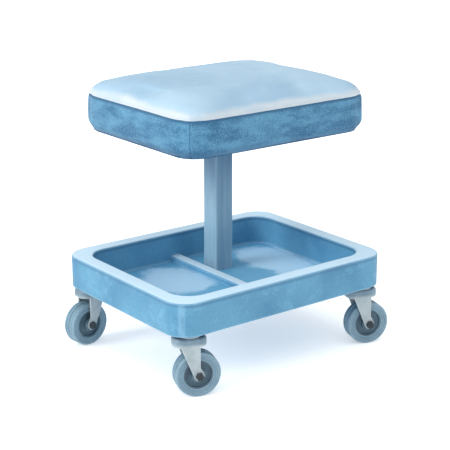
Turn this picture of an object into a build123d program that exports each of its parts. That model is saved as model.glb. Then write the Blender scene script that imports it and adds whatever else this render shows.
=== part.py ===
"""Mechanic's creeper seat: padded seat on a square post, tool tray and four swivel casters.

Frame: X along the tray's long side, Y along its short side, Z up.
Origin: on the floor, under the middle of the tray. Millimetres.
"""

import math
import os

from build123d import *

# ---- driving dimensions -------------------------------------------------------------------

# tool tray: one thin-walled moulding with a hollow rim, open underneath
TRAY_LENGTH = 373.0
TRAY_WIDTH = 292.0
TRAY_HEIGHT = 48.0
TRAY_BOTTOM = 91.5
TRAY_TOP = TRAY_BOTTOM + TRAY_HEIGHT
TRAY_CORNER = 33.0
TRAY_WALL = 3.0
RIM_WIDTH = 23.0
RIM_EDGE = 2.6
SKIRT_EDGE = 1.4
POCKET_CORNER = 32.0
POCKET_DRAFT = 2.0
POCKET_FOOT_RADIUS = 3.0
FLOOR_TOP = TRAY_BOTTOM + 4.2
FLOOR_THICKNESS = 3.2
FLOOR_UNDERSIDE = FLOOR_TOP - FLOOR_THICKNESS
POCKET_LENGTH = TRAY_LENGTH - 2 * RIM_WIDTH
POCKET_WIDTH = TRAY_WIDTH - 2 * RIM_WIDTH

# low hollow rib across the tray floor
RIB_X = -2.0
RIB_WIDTH = 17.0
RIB_HEIGHT = 9.0
RIB_ROUND = 3.5
RIB_SOLID_END = 10.0

# post: square steel tube standing behind the rib, in a socket under the floor
POST_X = 32.4
POST_Y = 58.8
POST_SIZE = 32.0
POST_WALL = 2.0
POST_CORNER = 3.0
POST_BOTTOM = 63.0
SOCKET_PLAY = 0.15
SOCKET_WALL = 4.0
SOCKET_BASE = 5.0
WEB_THICKNESS = 4.0
WEB_DEPTH = 28.0
WEB_TIP_DEPTH = 2.0
CROSS_BOLT_Z = 77.0
CROSS_BOLT_RADIUS = 4.0

# seat: padded board on a pressed steel plate
SEAT_LENGTH = 321.0
SEAT_WIDTH = 263.0
SEAT_CORNER = 38.0
COVER_THICKNESS = 1.2
BOARD_BOTTOM = 325.0
BOARD_THICKNESS = 12.0
BOARD_LENGTH = 300.0
BOARD_WIDTH = 242.0
BOARD_CORNER = 30.0
BOARD_TOP = BOARD_BOTTOM + BOARD_THICKNESS
SEAT_BOTTOM = BOARD_BOTTOM - COVER_THICKNESS
SEAT_TOP = 400.0
SHOULDER_RADIUS = 22.0
SEAT_FOOT_RADIUS = 14.0
HEM_WIDTH = 28.0

PLATE_X = 8.0
PLATE_Y = 14.0
PLATE_LENGTH = 176.0
PLATE_WIDTH = 150.0
PLATE_CORNER = 12.0
PLATE_EDGE = 4.0
PLATE_THICKNESS = 3.0
PLATE_FLANGE = 8.0
PLATE_UNDERSIDE = BOARD_BOTTOM - PLATE_THICKNESS
SEAT_BOLT_X = 70.0
SEAT_BOLT_Y = 60.0
SEAT_BOLT_RADIUS = 2.95
SEAT_BOLT_HOLE = 3.2
TEE_NUT_RADIUS = 3.95
GUSSET_THICKNESS = 4.0
GUSSET_REACH = 42.0
GUSSET_DROP = 45.0

# casters: swivel axes under the tray's corners, wheels trailing
CASTER_X = 156.0
CASTER_Y = 123.0
WHEEL_RADIUS = 31.75
WHEEL_HALF_WIDTH = 11.0
TRAIL = 10.5
STEM_RADIUS = 4.75
STEM_TOP = 127.0
SLEEVE_RADIUS = 6.3
SLEEVE_TOP = 129.0
BOSS_RADIUS = 8.2
BOSS_BRACE = 34.0
KINGPIN_RADIUS = 5.0
RUNNING_PLAY = 0.06
CUP_RADIUS = 16.5
CUP_TOP = 90.3
CUP_THICKNESS = 2.3
BALL_RADIUS = 1.5
BALL_PITCH_RADIUS = 11.5
BALL_COUNT = 12
BALL_Z = 87.6
CROWN_LENGTH = 46.0
CROWN_WIDTH = 31.0
CROWN_CORNER = 11.0
CROWN_TOP = 87.0
CROWN_SKIRT_BOTTOM = 74.5
CROWN_DOME = 4.5
FORK_THICKNESS = 2.5
LEG_INNER = CROWN_WIDTH / 2 - FORK_THICKNESS
AXLE_RADIUS = 3.0
LEG_END_RADIUS = 7.0
LEG_ROOT_HALF = 12.0
LEG_ROOT_Z = 73.0
LEG_WAIST_Z = 44.0
SPACER_RADIUS = 4.5
HUB_RADIUS = 20.6
HUB_BOSS_RADIUS = 9.5
HEX_SIZE = 10.0

# which way each wheel trails, in degrees from +X, as the seat was last pushed
CASTERS = {
    "front_left": (-CASTER_X, -CASTER_Y, -20.8),
    "front_right": (CASTER_X, -CASTER_Y, -19.0),
    "back_left": (-CASTER_X, CASTER_Y, 185.8),
    "back_right": (CASTER_X, CASTER_Y, 20.0),
}

# ---- small helpers ------------------------------------------------------------------------


def slab(length, width, corner, low, high, x=0.0, y=0.0):
    """A rounded rectangle standing from z = low to z = high."""
    return extrude(Pos(x, y, low) * RectangleRounded(length, width, corner), high - low)


def rod(radius, low, high, x=0.0, y=0.0):
    """A vertical cylinder from z = low to z = high."""
    return extrude(Pos(x, y, low) * Circle(radius), high - low)


def cross_rod(radius, start, end, z, x=0.0):
    """A cylinder along Y from y = start to y = end."""
    return extrude(Plane(origin=(x, start, z), x_dir=(1, 0, 0), z_dir=(0, 1, 0)) * Circle(radius), end - start)


def turned(points):
    """A ring turned about the Z axis from (radius, z) points."""
    face = make_face(Polyline(*[(r, 0, z) for r, z in points], close=True))
    return revolve(face, Axis.Z)


def hexagon(across_flats):
    return RegularPolygon(across_flats / 2, 6, major_radius=False)


def seat_envelope(inset):
    """The cushion's outer shape, shrunk all round by inset."""
    body = slab(
        SEAT_LENGTH - 2 * inset,
        SEAT_WIDTH - 2 * inset,
        SEAT_CORNER - inset,
        SEAT_BOTTOM + inset,
        SEAT_TOP - inset,
    )
    body = fillet(body.edges().group_by(Axis.Z)[-1], SHOULDER_RADIUS - inset)
    return fillet(body.edges().group_by(Axis.Z)[0], SEAT_FOOT_RADIUS - inset)


def board_envelope(play):
    """The seat board's outline, grown by play on its sides and top."""
    return slab(
        BOARD_LENGTH + 2 * play,
        BOARD_WIDTH + 2 * play,
        BOARD_CORNER + play,
        BOARD_BOTTOM,
        BOARD_TOP + play,
    )


def seat_bolt_places():
    return [(PLATE_X + sx * SEAT_BOLT_X, PLATE_Y + sy * SEAT_BOLT_Y) for sx in (-1, 1) for sy in (-1, 1)]


# ---- seat ---------------------------------------------------------------------------------

TEE_FLANGE_RADIUS = 9.5
TEE_FLANGE_THICKNESS = 1.2
CLOSE = 0.15


def make_seat_board():
    board = slab(BOARD_LENGTH, BOARD_WIDTH, BOARD_CORNER, BOARD_BOTTOM, BOARD_TOP)
    for x, y in seat_bolt_places():
        board -= rod(TEE_NUT_RADIUS + 0.05, BOARD_BOTTOM - 1, BOARD_TOP + 1, x, y)
    return board


def make_seat_foam():
    foam = seat_envelope(COVER_THICKNESS + 0.2)
    foam -= board_envelope(CLOSE)
    for x, y in seat_bolt_places():
        pocket_top = BOARD_TOP + TEE_FLANGE_THICKNESS + 0.2
        foam -= rod(TEE_FLANGE_RADIUS + 0.2, BOARD_TOP - 1, pocket_top, x, y)
    return foam


def make_seat_cover():
    cover = seat_envelope(0.0)
    cover -= seat_envelope(COVER_THICKNESS)
    cover -= board_envelope(CLOSE)
    opening_length = SEAT_LENGTH - 2 * SEAT_FOOT_RADIUS - 2 * HEM_WIDTH
    opening_width = SEAT_WIDTH - 2 * SEAT_FOOT_RADIUS - 2 * HEM_WIDTH
    cover -= slab(opening_length, opening_width, 16.0, SEAT_BOTTOM - 1, BOARD_BOTTOM + 1)
    return cover


def make_seat_staples():
    """Staples that pin the cover's hem to the underside of the board."""
    crown, wire, depth = 10.0, 0.7, 6.0
    crown_z = SEAT_BOTTOM - wire / 2
    leg_z = SEAT_BOTTOM + depth / 2
    staple = Pos(0, 0, crown_z) * Box(crown, wire, wire)
    for side in (-1, 1):
        staple += Pos(side * (crown - wire) / 2, 0, leg_z) * Box(wire, wire, depth)
    row_x = BOARD_LENGTH / 2 - 17.0
    row_y = BOARD_WIDTH / 2 - 15.0
    places = [(x, sy * row_y, 0) for x in (-110, -66, -22, 22, 66, 110) for sy in (-1, 1)]
    places += [(sx * row_x, y, 90) for y in (-80, -40, 0, 40, 80) for sx in (-1, 1)]
    return Compound(children=[Pos(x, y, 0) * Rot(0, 0, turn) * staple for x, y, turn in places])


def make_tee_nuts():
    barrel_bottom = BOARD_TOP - 9.0
    nuts = []
    for x, y in seat_bolt_places():
        nut = rod(TEE_FLANGE_RADIUS, BOARD_TOP, BOARD_TOP + TEE_FLANGE_THICKNESS, x, y)
        nut += rod(TEE_NUT_RADIUS, barrel_bottom, BOARD_TOP, x, y)
        nut -= rod(SEAT_BOLT_RADIUS + 0.05, barrel_bottom - 1, BOARD_TOP + 3, x, y)
        nuts.append(nut)
    return Compound(children=nuts)


WASHER_RADIUS = 7.0
WASHER_THICKNESS = 1.4
BOLT_HEAD_HEIGHT = 4.0


def make_seat_washers():
    low = PLATE_UNDERSIDE - WASHER_THICKNESS
    washers = []
    for x, y in seat_bolt_places():
        washer = rod(WASHER_RADIUS, low, PLATE_UNDERSIDE, x, y)
        washers.append(washer - rod(SEAT_BOLT_HOLE, low - 1, PLATE_UNDERSIDE + 1, x, y))
    return Compound(children=washers)


def make_seat_bolts():
    head_top = PLATE_UNDERSIDE - WASHER_THICKNESS
    bolts = []
    for x, y in seat_bolt_places():
        head = extrude(Pos(x, y, head_top - BOLT_HEAD_HEIGHT) * hexagon(HEX_SIZE), BOLT_HEAD_HEIGHT)
        head = chamfer(head.edges().group_by(Axis.Z)[0], 0.6)
        bolts.append(head + rod(SEAT_BOLT_RADIUS, head_top, BOARD_TOP, x, y))
    return Compound(children=bolts)


# ---- seat plate, gussets and post ---------------------------------------------------------


def make_seat_plate():
    """Pressed pan: flat top with its edges turned down all round."""
    low = PLATE_UNDERSIDE - PLATE_FLANGE
    pan = slab(PLATE_LENGTH, PLATE_WIDTH, PLATE_CORNER, low, BOARD_BOTTOM, PLATE_X, PLATE_Y)
    pan = fillet(pan.edges().group_by(Axis.Z)[-1], PLATE_EDGE)
    inner_corner = PLATE_CORNER - PLATE_THICKNESS
    pan -= slab(
        PLATE_LENGTH - 2 * PLATE_THICKNESS,
        PLATE_WIDTH - 2 * PLATE_THICKNESS,
        inner_corner,
        low - 1,
        PLATE_UNDERSIDE,
        PLATE_X,
        PLATE_Y,
    )
    for x, y in seat_bolt_places():
        pan -= rod(SEAT_BOLT_HOLE, low, BOARD_BOTTOM + 1, x, y)
    return pan


def make_gussets():
    """Triangular plates welded between the post's top and the seat plate."""
    corner = 6.0
    profile = [
        (0, PLATE_UNDERSIDE),
        (GUSSET_REACH, PLATE_UNDERSIDE),
        (GUSSET_REACH, PLATE_UNDERSIDE - corner),
        (corner, PLATE_UNDERSIDE - GUSSET_DROP),
        (0, PLATE_UNDERSIDE - GUSSET_DROP),
    ]
    outline = make_face(Polyline(*[(r, 0, z) for r, z in profile], close=True))
    plate = extrude(outline, GUSSET_THICKNESS / 2, both=True)
    face = POST_SIZE / 2
    return Compound(
        children=[Pos(POST_X, POST_Y, 0) * Rot(0, 0, turn) * Pos(face, 0, 0) * plate for turn in (0, 180, 270)]
    )


def make_post():
    post = slab(POST_SIZE, POST_SIZE, POST_CORNER, POST_BOTTOM, PLATE_UNDERSIDE, POST_X, POST_Y)
    bore = POST_SIZE - 2 * POST_WALL
    post -= slab(bore, bore, POST_CORNER - POST_WALL + 0.5, POST_BOTTOM - 1, PLATE_UNDERSIDE + 1, POST_X, POST_Y)
    reach = POST_SIZE
    hole = cross_rod(CROSS_BOLT_RADIUS + 0.2, POST_Y - reach, POST_Y + reach, CROSS_BOLT_Z, POST_X)
    return post - hole


SOCKET_OUTER = POST_SIZE + 2 * (SOCKET_PLAY + SOCKET_WALL)
CROSS_HEAD = 5.3
CROSS_NUT = 7.0
CROSS_HEX = 13.0


def make_cross_bolt():
    """Hex bolt through the socket and the post, under the tray floor."""
    start = POST_Y - SOCKET_OUTER / 2
    end = POST_Y + SOCKET_OUTER / 2 + CROSS_NUT + 2.5
    seat = Plane(origin=(POST_X, start, CROSS_BOLT_Z), x_dir=(1, 0, 0), z_dir=(0, -1, 0))
    head = extrude(seat * hexagon(CROSS_HEX), CROSS_HEAD)
    head = chamfer(head.edges().group_by(Axis.Y)[0], 0.7)
    return head + cross_rod(CROSS_BOLT_RADIUS, start, end, CROSS_BOLT_Z, POST_X)


def make_cross_nut():
    start = POST_Y + SOCKET_OUTER / 2
    seat = Plane(origin=(POST_X, start, CROSS_BOLT_Z), x_dir=(1, 0, 0), z_dir=(0, 1, 0))
    nut = extrude(seat * hexagon(CROSS_HEX), CROSS_NUT)
    nut = chamfer(nut.edges().group_by(Axis.Y)[-1], 0.7)
    return nut - cross_rod(CROSS_BOLT_RADIUS + 0.05, start - 1, start + CROSS_NUT + 1, CROSS_BOLT_Z, POST_X)


# ---- tray ---------------------------------------------------------------------------------


def tray_shell():
    """Outer skirt, flat rim, sloping inner walls and floor."""
    shell = slab(TRAY_LENGTH, TRAY_WIDTH, TRAY_CORNER, TRAY_BOTTOM, TRAY_TOP)
    shell = fillet(shell.edges().group_by(Axis.Z)[-1], RIM_EDGE)
    shell = fillet(shell.edges().group_by(Axis.Z)[0], SKIRT_EDGE)
    mouth = Pos(0, 0, TRAY_TOP) * RectangleRounded(POCKET_LENGTH, POCKET_WIDTH, POCKET_CORNER)
    pocket = extrude(mouth, FLOOR_TOP - TRAY_TOP, taper=POCKET_DRAFT)
    pocket = fillet(pocket.edges().group_by(Axis.Z)[0], POCKET_FOOT_RADIUS)
    shell -= pocket
    inner_lip = [
        e
        for e in shell.edges().group_by(Axis.Z)[-1]
        if abs(e.center().X) < POCKET_LENGTH / 2 + 1 and abs(e.center().Y) < POCKET_WIDTH / 2 + 1
    ]
    return fillet(inner_lip, RIM_EDGE)


def rim_hollow():
    """The space inside the rim, open at the bottom."""
    gap = 2 * TRAY_WALL
    top = TRAY_TOP - TRAY_WALL
    outside = slab(TRAY_LENGTH - gap, TRAY_WIDTH - gap, TRAY_CORNER - TRAY_WALL, TRAY_BOTTOM - 1, top)
    inside = slab(POCKET_LENGTH + gap, POCKET_WIDTH + gap, POCKET_CORNER + TRAY_WALL, TRAY_BOTTOM - 2, top + 1)
    return outside - inside


def cross_rib():
    """Rounded rib on the floor, hollow underneath, running into both long walls."""
    length = POCKET_WIDTH + TRAY_WALL
    top = FLOOR_TOP + RIB_HEIGHT
    rib = Pos(RIB_X, 0, (FLOOR_UNDERSIDE + top) / 2) * Box(RIB_WIDTH, length, top - FLOOR_UNDERSIDE)
    long_edges = rib.edges().filter_by(Axis.Y).group_by(Axis.Z)[-1]
    return fillet(long_edges, RIB_ROUND)


def rib_hollow():
    top = FLOOR_TOP + RIB_HEIGHT - TRAY_WALL
    low = FLOOR_UNDERSIDE - 1
    width = RIB_WIDTH - 2 * TRAY_WALL
    return Pos(RIB_X, 0, (low + top) / 2) * Box(width, POCKET_WIDTH - 2 * RIB_SOLID_END, top - low)


def post_socket():
    """Square socket under the floor, closed at the bottom but for a drain hole."""
    low = POST_BOTTOM - SOCKET_BASE
    return slab(SOCKET_OUTER, SOCKET_OUTER, POST_CORNER + SOCKET_WALL, low, FLOOR_TOP, POST_X, POST_Y)


def socket_hollow():
    opening = POST_SIZE + 2 * SOCKET_PLAY
    void = slab(opening, opening, POST_CORNER + SOCKET_PLAY, POST_BOTTOM, FLOOR_TOP + 1, POST_X, POST_Y)
    void += rod(4.0, POST_BOTTOM - SOCKET_BASE - 1, POST_BOTTOM + 1, POST_X, POST_Y)
    reach = SOCKET_OUTER / 2 + 1
    void += cross_rod(CROSS_BOLT_RADIUS + 0.2, POST_Y - reach, POST_Y + reach, CROSS_BOLT_Z, POST_X)
    return void


def web(turn, reach, middle_x, middle_y):
    """Tapering stiffener under the floor, from (middle_x, middle_y) outwards."""
    profile = [
        (0, FLOOR_UNDERSIDE + 1),
        (reach, FLOOR_UNDERSIDE + 1),
        (reach, FLOOR_UNDERSIDE - WEB_TIP_DEPTH),
        (0, FLOOR_UNDERSIDE - WEB_DEPTH),
    ]
    outline = make_face(Polyline(*[(r, 0, z) for r, z in profile], close=True))
    plate = extrude(outline, WEB_THICKNESS / 2, both=True)
    return Pos(middle_x, middle_y, 0) * Rot(0, 0, turn) * plate


def socket_webs():
    """Webs that carry the post's load from the socket to the tray's walls."""
    half = SOCKET_OUTER / 2 - 1
    wall_x = POCKET_LENGTH / 2 - 2
    wall_y = POCKET_WIDTH / 2 - 2
    side_step = SOCKET_OUTER / 2 - 5
    webs = []
    for step in (-side_step, side_step):
        webs.append(web(180, POST_X - half + wall_x, POST_X - half, POST_Y + step))
        webs.append(web(0, wall_x - POST_X - half, POST_X + half, POST_Y + step))
        webs.append(web(270, POST_Y - half + wall_y, POST_X + step, POST_Y - half))
        webs.append(web(90, wall_y - POST_Y - half, POST_X + step, POST_Y + half))
    return webs


def caster_bosses():
    """Round bosses inside the rim's corners, each braced to both outer walls."""
    top = TRAY_TOP - TRAY_WALL + 0.5
    within = slab(TRAY_LENGTH - 2, TRAY_WIDTH - 2, TRAY_CORNER - 1, TRAY_BOTTOM, top)
    bosses = []
    for x, y, _ in CASTERS.values():
        out_x = math.copysign(BOSS_BRACE / 2, x)
        out_y = math.copysign(BOSS_BRACE / 2, y)
        middle_z = (TRAY_BOTTOM + 4 + top) / 2
        height = top - TRAY_BOTTOM - 4
        boss = rod(BOSS_RADIUS, TRAY_BOTTOM, top, x, y)
        boss += Pos(x + out_x, y, middle_z) * Box(BOSS_BRACE, WEB_THICKNESS, height)
        boss += Pos(x, y + out_y, middle_z) * Box(WEB_THICKNESS, BOSS_BRACE, height)
        bosses.append(boss & within)
    return bosses


def make_tray():
    tray = tray_shell() - rim_hollow()
    gap = 2 * TRAY_WALL
    corner = POCKET_CORNER - TRAY_WALL
    tray -= slab(POCKET_LENGTH - gap, POCKET_WIDTH - gap, corner, TRAY_BOTTOM - 1, FLOOR_UNDERSIDE)
    tray += cross_rib()
    tray -= rib_hollow()
    tray += post_socket()
    for stiffener in socket_webs():
        tray += stiffener
    tray -= socket_hollow()
    for boss in caster_bosses():
        tray += boss
    for x, y, _ in CASTERS.values():
        tray -= rod(SLEEVE_RADIUS + 0.05, TRAY_BOTTOM - 1, SLEEVE_TOP + 0.5, x, y)
    return tray


# ---- caster, built with its swivel axis on Z and its wheel trailing along +X --------------


def make_stem_sleeve():
    return rod(SLEEVE_RADIUS, TRAY_BOTTOM, SLEEVE_TOP) - rod(STEM_RADIUS + 0.05, TRAY_BOTTOM - 1, SLEEVE_TOP + 1)


def make_stem():
    """Grip-neck stem above its flange, riveted kingpin below."""
    under_crown = CROWN_TOP - FORK_THICKNESS - 0.25
    stem = turned(
        [
            (0, STEM_TOP),
            (STEM_RADIUS - 1.5, STEM_TOP),
            (STEM_RADIUS - 0.2, STEM_TOP - 3),
            (STEM_RADIUS - 0.2, STEM_TOP - 8),
            (STEM_RADIUS - 1.0, STEM_TOP - 8.6),
            (STEM_RADIUS - 1.0, STEM_TOP - 12),
            (STEM_RADIUS, STEM_TOP - 12.6),
            (STEM_RADIUS, TRAY_BOTTOM - 0.1),
            (9.5, TRAY_BOTTOM - 0.1),
            (9.5, CUP_TOP),
            (KINGPIN_RADIUS, CUP_TOP),
            (KINGPIN_RADIUS, under_crown),
            (8.0, under_crown),
            (8.0, under_crown - 1.6),
            (5.0, under_crown - 3.4),
            (0, under_crown - 3.8),
        ]
    )
    return stem


def make_bearing_cup():
    """Upper ball race, a shallow cap with a turned-down lip."""
    low = CUP_TOP - CUP_THICKNESS
    cup = turned(
        [
            (KINGPIN_RADIUS + 0.02, CUP_TOP),
            (CUP_RADIUS - 2.2, CUP_TOP),
            (CUP_RADIUS, CUP_TOP - 1.6),
            (CUP_RADIUS, CROWN_TOP + 0.35),
            (CUP_RADIUS - 1.3, CROWN_TOP + 0.35),
            (CUP_RADIUS - 1.3, low),
            (KINGPIN_RADIUS + 0.02, low),
        ]
    )
    return cup - ball_groove()


def ball_groove():
    track = Plane(origin=(BALL_PITCH_RADIUS, 0, BALL_Z), x_dir=(1, 0, 0), z_dir=(0, -1, 0))
    return revolve(track * Circle(BALL_RADIUS + 0.08), Axis.Z)


def make_bearing_balls():
    step = 360 / BALL_COUNT
    ball = Pos(BALL_PITCH_RADIUS, 0, BALL_Z) * Sphere(BALL_RADIUS)
    return Compound(children=[Rot(0, 0, i * step) * ball for i in range(BALL_COUNT)])


def fork_leg():
    """Leg outline in the wheel's plane: slanting leading edge, upright trailing edge, round end."""
    end_angle = math.radians(208)
    lead = (TRAIL + LEG_END_RADIUS * math.cos(end_angle), WHEEL_RADIUS + LEG_END_RADIUS * math.sin(end_angle))
    trail_angle = math.radians(15)
    rear = (TRAIL + LEG_END_RADIUS * math.cos(trail_angle), WHEEL_RADIUS + LEG_END_RADIUS * math.sin(trail_angle))
    bottom = (TRAIL, WHEEL_RADIUS - LEG_END_RADIUS)
    top = CROWN_TOP - CROWN_DOME
    outline = [
        Line((lead[0], 0, lead[1]), (-LEG_ROOT_HALF - 2.0, 0, LEG_ROOT_Z)),
        Line((-LEG_ROOT_HALF - 2.0, 0, LEG_ROOT_Z), (-LEG_ROOT_HALF, 0, top)),
        Line((-LEG_ROOT_HALF, 0, top), (LEG_ROOT_HALF, 0, top)),
        Line((LEG_ROOT_HALF, 0, top), (LEG_ROOT_HALF, 0, LEG_WAIST_Z)),
        Line((LEG_ROOT_HALF, 0, LEG_WAIST_Z), (rear[0], 0, rear[1])),
        ThreePointArc((rear[0], 0, rear[1]), (bottom[0], 0, bottom[1]), (lead[0], 0, lead[1])),
    ]
    face = make_face(outline)
    return extrude(face, FORK_THICKNESS / 2, both=True)


def make_fork():
    """Pressed steel fork: domed crown with a skirt, and two tapering legs."""
    crown = slab(CROWN_LENGTH, CROWN_WIDTH, CROWN_CORNER, CROWN_SKIRT_BOTTOM, CROWN_TOP)
    crown = fillet(crown.edges().group_by(Axis.Z)[-1], CROWN_DOME)
    inner = slab(
        CROWN_LENGTH - 2 * FORK_THICKNESS,
        CROWN_WIDTH - 2 * FORK_THICKNESS,
        CROWN_CORNER - FORK_THICKNESS,
        CROWN_SKIRT_BOTTOM - 1,
        CROWN_TOP - FORK_THICKNESS,
    )
    inner = fillet(inner.edges().group_by(Axis.Z)[-1], CROWN_DOME - FORK_THICKNESS)
    fork = crown - inner
    leg_middle = LEG_INNER + FORK_THICKNESS / 2
    for side in (-1, 1):
        fork += Pos(0, side * leg_middle, 0) * fork_leg()
    fork -= rod(KINGPIN_RADIUS + RUNNING_PLAY, CROWN_SKIRT_BOTTOM, CROWN_TOP + 1)
    fork -= cross_rod(AXLE_RADIUS + 0.1, -CROWN_WIDTH, CROWN_WIDTH, WHEEL_RADIUS, TRAIL)
    return fork - ball_groove()


AXLE_HEAD = 4.0
AXLE_NUT = 5.0


def make_axle_bolt():
    start, end = CROWN_WIDTH / 2, -CROWN_WIDTH / 2 - AXLE_NUT - 1.0
    seat = Plane(origin=(TRAIL, start, WHEEL_RADIUS), x_dir=(1, 0, 0), z_dir=(0, 1, 0))
    head = extrude(seat * hexagon(HEX_SIZE), AXLE_HEAD)
    head = chamfer(head.edges().group_by(Axis.Y)[-1], 0.6)
    return head + cross_rod(AXLE_RADIUS, end, start, WHEEL_RADIUS, TRAIL)


def make_axle_nut():
    start = -CROWN_WIDTH / 2
    seat = Plane(origin=(TRAIL, start, WHEEL_RADIUS), x_dir=(1, 0, 0), z_dir=(0, -1, 0))
    nut = extrude(seat * hexagon(HEX_SIZE), AXLE_NUT)
    nut = chamfer(nut.edges().group_by(Axis.Y)[0], 0.6)
    return nut - cross_rod(AXLE_RADIUS + 0.04, start - AXLE_NUT - 1, start + 1, WHEEL_RADIUS, TRAIL)


def make_axle_spacer():
    """Tube clamped between the legs, on which the wheel turns."""
    tube = cross_rod(SPACER_RADIUS, -LEG_INNER, LEG_INNER, WHEEL_RADIUS, TRAIL)
    return tube - cross_rod(AXLE_RADIUS + 0.05, -LEG_INNER - 1, LEG_INNER + 1, WHEEL_RADIUS, TRAIL)


def about_axle(ring):
    """Lays a ring turned about Z onto the wheel's axle."""
    return Pos(TRAIL, 0, WHEEL_RADIUS) * Rot(90, 0, 0) * ring


def make_wheel_hub():
    boss_half = LEG_INNER - 0.2
    bore = SPACER_RADIUS + RUNNING_PLAY
    rim_half = 9.0
    web_half = 5.8
    upper = [
        (bore, boss_half),
        (HUB_BOSS_RADIUS - 2.5, boss_half),
        (HUB_BOSS_RADIUS - 1.5, boss_half - 1.2),
        (HUB_BOSS_RADIUS, boss_half - 1.6),
        (HUB_BOSS_RADIUS + 1.0, web_half + 1.0),
        (HUB_RADIUS - 2.8, web_half + 0.4),
        (HUB_RADIUS - 1.6, rim_half),
        (HUB_RADIUS - 0.05, rim_half),
    ]
    lower = [(r, -z) for r, z in reversed(upper)]
    return about_axle(turned(upper + lower))


def make_tyre():
    """Moulded tyre: two flat side bands with a groove between, and a groove round the tread."""
    groove_half, groove_depth = 1.1, 1.6
    half, radius = WHEEL_HALF_WIDTH, WHEEL_RADIUS
    upper = [
        (HUB_RADIUS, 9.4),
        (21.4, 10.3),
        (25.2, 10.5),
        (25.8, 9.5),
        (26.4, 9.7),
        (27.0, half),
        (29.8, half),
        (31.0, half - 0.8),
        (radius, half - 2.4),
        (radius, groove_half),
        (radius - groove_depth, groove_half - 0.4),
    ]
    lower = [(r, -z) for r, z in reversed(upper)]
    return about_axle(turned(upper + lower))


CASTER_PIECES = {
    "stem_sleeve": make_stem_sleeve,
    "stem": make_stem,
    "bearing_cup": make_bearing_cup,
    "bearing_balls": make_bearing_balls,
    "fork": make_fork,
    "axle_bolt": make_axle_bolt,
    "axle_nut": make_axle_nut,
    "axle_spacer": make_axle_spacer,
    "wheel_hub": make_wheel_hub,
    "tyre": make_tyre,
}

# ---- all nodes ----------------------------------------------------------------------------


def all_nodes():
    nodes = {
        "seat_cover": make_seat_cover(),
        "seat_foam": make_seat_foam(),
        "seat_board": make_seat_board(),
        "seat_staples": make_seat_staples(),
        "seat_tee_nuts": make_tee_nuts(),
        "seat_bolts": make_seat_bolts(),
        "seat_washers": make_seat_washers(),
        "seat_plate": make_seat_plate(),
        "post_gussets": make_gussets(),
        "post": make_post(),
        "post_cross_bolt": make_cross_bolt(),
        "post_cross_nut": make_cross_nut(),
        "tray": make_tray(),
    }
    for piece, make in CASTER_PIECES.items():
        shape = make()
        for corner, (x, y, turn) in CASTERS.items():
            nodes[f"{piece}_{corner}"] = Pos(x, y, 0) * Rot(0, 0, turn) * shape
    return nodes


os.makedirs("parts", exist_ok=True)
for name, shape in all_nodes().items():
    export_step(shape, f"parts/{name}.step")
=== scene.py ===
"""Looks of the mechanic's creeper seat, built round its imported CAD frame. Metres, Z up."""

import math

import bmesh
import bpy
import numpy as np
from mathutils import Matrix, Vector, noise
from mathutils.bvhtree import BVHTree


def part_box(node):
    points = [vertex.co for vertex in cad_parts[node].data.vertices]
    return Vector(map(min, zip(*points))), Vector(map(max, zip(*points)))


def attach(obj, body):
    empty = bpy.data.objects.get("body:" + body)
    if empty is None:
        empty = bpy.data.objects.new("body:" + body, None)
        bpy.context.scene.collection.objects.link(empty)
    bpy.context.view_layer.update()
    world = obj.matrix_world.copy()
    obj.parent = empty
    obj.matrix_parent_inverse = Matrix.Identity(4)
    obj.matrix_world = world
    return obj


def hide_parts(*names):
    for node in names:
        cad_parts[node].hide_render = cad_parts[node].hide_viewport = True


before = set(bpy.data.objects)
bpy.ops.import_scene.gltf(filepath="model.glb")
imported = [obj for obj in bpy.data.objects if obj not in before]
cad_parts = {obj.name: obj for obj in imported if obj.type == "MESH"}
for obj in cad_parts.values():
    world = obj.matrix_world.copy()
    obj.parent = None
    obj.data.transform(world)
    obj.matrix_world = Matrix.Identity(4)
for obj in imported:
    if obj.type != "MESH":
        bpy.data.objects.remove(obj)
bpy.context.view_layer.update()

MM = 0.001
CORNERS = ("front_left", "front_right", "back_left", "back_right")

# ---- camera, lights and floor -------------------------------------------------------------

AZIMUTH = math.radians(-37.675)
ELEVATION = math.radians(16.945)
DISTANCE = 1.8833
TARGET_HEIGHT = 0.1811
LENS = 103.7


def make_camera():
    back = Vector(
        (
            math.sin(AZIMUTH) * math.cos(ELEVATION),
            -math.cos(AZIMUTH) * math.cos(ELEVATION),
            math.sin(ELEVATION),
        )
    )
    data = bpy.data.cameras.new("camera")
    data.lens = LENS
    data.sensor_width = 36.0
    data.clip_start = 0.05
    data.clip_end = 60.0
    camera = bpy.data.objects.new("camera", data)
    camera.location = Vector((0, 0, TARGET_HEIGHT)) + back * DISTANCE
    camera.rotation_mode = "QUATERNION"
    camera.rotation_quaternion = (-back).to_track_quat("-Z", "Y")
    bpy.context.scene.collection.objects.link(camera)
    bpy.context.scene.camera = camera


def aimed(light, towards):
    light.rotation_mode = "QUATERNION"
    light.rotation_quaternion = Vector(towards).to_track_quat("Z", "Y")
    bpy.context.scene.collection.objects.link(light)


def sun_light(name, towards, spread, power, colour):
    """Even light from a direction, soft over spread degrees."""
    data = bpy.data.lights.new(name, "SUN")
    data.angle = math.radians(spread)
    data.energy = power
    data.color = colour
    aimed(bpy.data.objects.new(name, data), towards)


def soft_box(name, place, size, power, colour):
    """A rectangular lamp aimed at the seat."""
    data = bpy.data.lights.new(name, "AREA")
    data.shape = "RECTANGLE"
    data.size, data.size_y = size
    data.energy = power
    data.color = colour
    light = bpy.data.objects.new(name, data)
    light.location = place
    aimed(light, Vector(place) - Vector((0, 0, 0.36)))


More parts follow.
